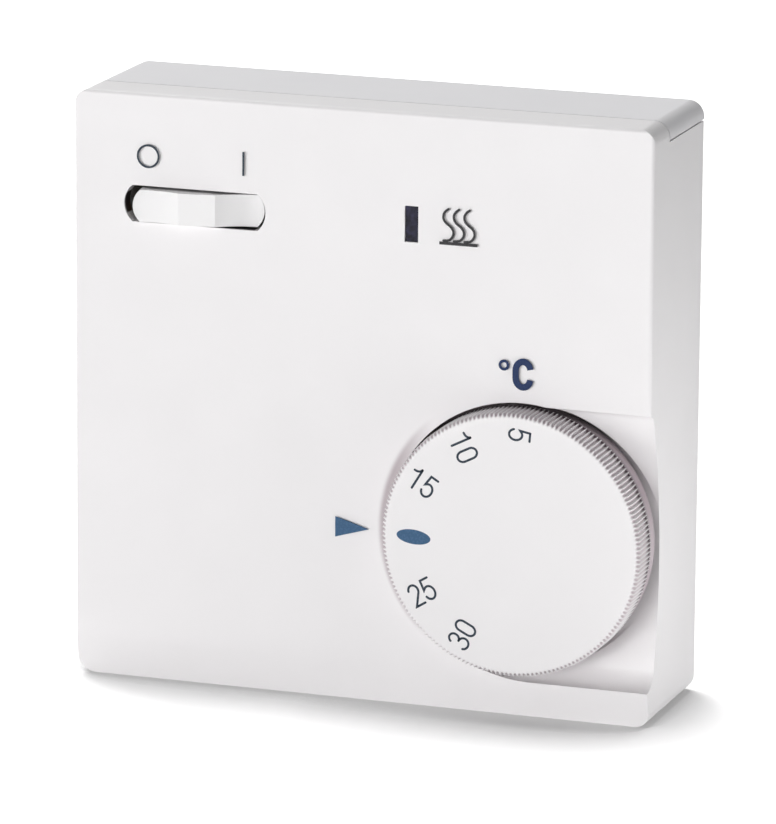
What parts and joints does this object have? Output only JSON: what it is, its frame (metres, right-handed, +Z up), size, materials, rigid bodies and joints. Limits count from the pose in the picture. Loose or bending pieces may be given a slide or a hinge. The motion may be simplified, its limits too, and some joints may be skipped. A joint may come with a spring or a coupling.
{
  "type": "wall thermostat",
  "caption": "Square white surface-mounted room thermostat with a setting dial, an on-off rocker, a pilot lamp window and a bimetal contact inside.",
  "frame": {"origin": "centre of the case's back face, on the wall", "axes": "+Z up, +Y into the wall, the front faces -Y, +X to the right seen from the front"},
  "size_m": [0.0751, 0.0247, 0.075],
  "materials": {
    "case_plastic": "white ABS with a fine satin moulded surface",
    "knob_plastic": "white ABS, satin, straight knurled grip",
    "base_plastic": "white ABS, satin",
    "frame_plastic": "cream glass-filled polyamide, matt",
    "lever_plastic": "ivory acetal, satin",
    "switch_plastic": "light grey polyamide, matt",
    "rocker_plastic": "white ABS, soft gloss",
    "terminal_plastic": "off-white polyamide, matt",
    "cold_ring_plastic": "blue acetal, satin",
    "warm_ring_plastic": "red acetal, satin",
    "lens_plastic": "dark violet-blue transparent acrylic, gloss",
    "board_laminate": "tan paper-phenolic board, semi-gloss",
    "lamp_glass": "clear neon bulb with a faint orange tint",
    "brass": "plain stamped or turned brass",
    "zinc_steel": "bright zinc-plated steel",
    "spring_steel": "bare spring steel",
    "bimetal": "rolled bimetal, matt",
    "silver_contact": "silver contact rivet, satin",
    "magnet": "sintered ferrite, dark grey",
    "tinned_wire": "tinned copper wire",
    "resistor_body": "tan lacquered resistor",
    "heater_body": "green lacquered resistor",
    "wire_cover": "blue wire insulation"
  },
  "bodies": {
    "case": {"base_plate": "base_plastic", "front_cover": "case_plastic", "cover_screw": "zinc_steel", "cover_screw_insert": "brass", "spindle_bush": "brass", "mechanism_frame": "frame_plastic", "frame_screws": "zinc_steel", "lever_pin": "zinc_steel", "lever_spring": "spring_steel", "bimetal_bracket": "brass", "bracket_rivets": "brass", "calibration_screw": "brass", "feedback_resistor": "heater_body", "feedback_leads": "tinned_wire", "terminal_block": "terminal_plastic", "terminal_clamps": "brass", "terminal_screws": "zinc_steel", "line_busbar": "brass", "load_busbar": "brass", "neutral_wire": "wire_cover", "circuit_board": "board_laminate", "board_screws": "zinc_steel", "switch_housing": "switch_plastic", "switch_contacts": "brass", "indicator_lens": "lens_plastic", "indicator_lamp": "lamp_glass", "lamp_leads": "tinned_wire", "series_resistor": "resistor_body", "series_leads": "tinned_wire"},
    "dial": {"dial_knob": "knob_plastic", "setting_spindle": "zinc_steel", "spindle_circlip": "spring_steel", "friction_washer": "spring_steel", "setting_cam": "lever_plastic"},
    "cold_ring": {"range_ring_cold": "cold_ring_plastic"},
    "warm_ring": {"range_ring_warm": "warm_ring_plastic"},
    "lever": {"setting_lever": "lever_plastic", "fixed_contact": "silver_contact", "snap_magnet": "magnet"},
    "sensor": {"bimetal_strip": "bimetal", "moving_contact": "silver_contact", "armature_plate": "zinc_steel"},
    "rocker": {"rocker_cap": "rocker_plastic", "rocker_plunger": "switch_plastic", "plunger_spring": "spring_steel"},
    "blade": {"switch_blade": "brass"}
  },
  "joints": [
    {"name": "dial_turn", "type": "hinge", "parent": "case", "child": "dial", "pos_m": [0.021, 0, -0.0145], "axis": [0, 1, 0], "range_deg": [-94.5, 63]},
    {"name": "cold_ring_turn", "type": "hinge", "parent": "dial", "child": "cold_ring", "pos_m": [0.021, 0, -0.0145], "axis": [0, 1, 0], "range_deg": [-30, 30]},
    {"name": "warm_ring_turn", "type": "hinge", "parent": "dial", "child": "warm_ring", "pos_m": [0.021, 0, -0.0145], "axis": [0, 1, 0], "range_deg": [-30, 30]},
    {"name": "lever_tilt", "type": "hinge", "parent": "case", "child": "lever", "pos_m": [0.001, 0, -0.0015], "axis": [0, 1, 0], "range_deg": [-2.84, 1.9], "deforming": ["lever_spring"]},
    {"name": "strip_bend", "type": "hinge", "parent": "case", "child": "sensor", "pos_m": [0.019, 0, 0.0033], "axis": [0, 1, 0], "range_deg": [-0.85, 0.85], "stiffness_Nm_per_rad": 0.01},
    {"name": "rocker_tilt", "type": "hinge", "parent": "case", "child": "rocker", "pos_m": [-0.0216, -0.0172, 0.0236], "axis": [0, 0, -1], "range_deg": [0, 18]},
    {"name": "blade_tilt", "type": "hinge", "parent": "case", "child": "blade", "pos_m": [-0.0216, -0.00923, 0.0236], "axis": [0, 0, 1], "range_deg": [0, 12]}
  ],
  "couplings": [
    {"joint": "lever_tilt", "follows": "dial_turn", "ratio": 0.03},
    {"joint": "blade_tilt", "follows": "rocker_tilt", "ratio": 0.6666}
  ]
}
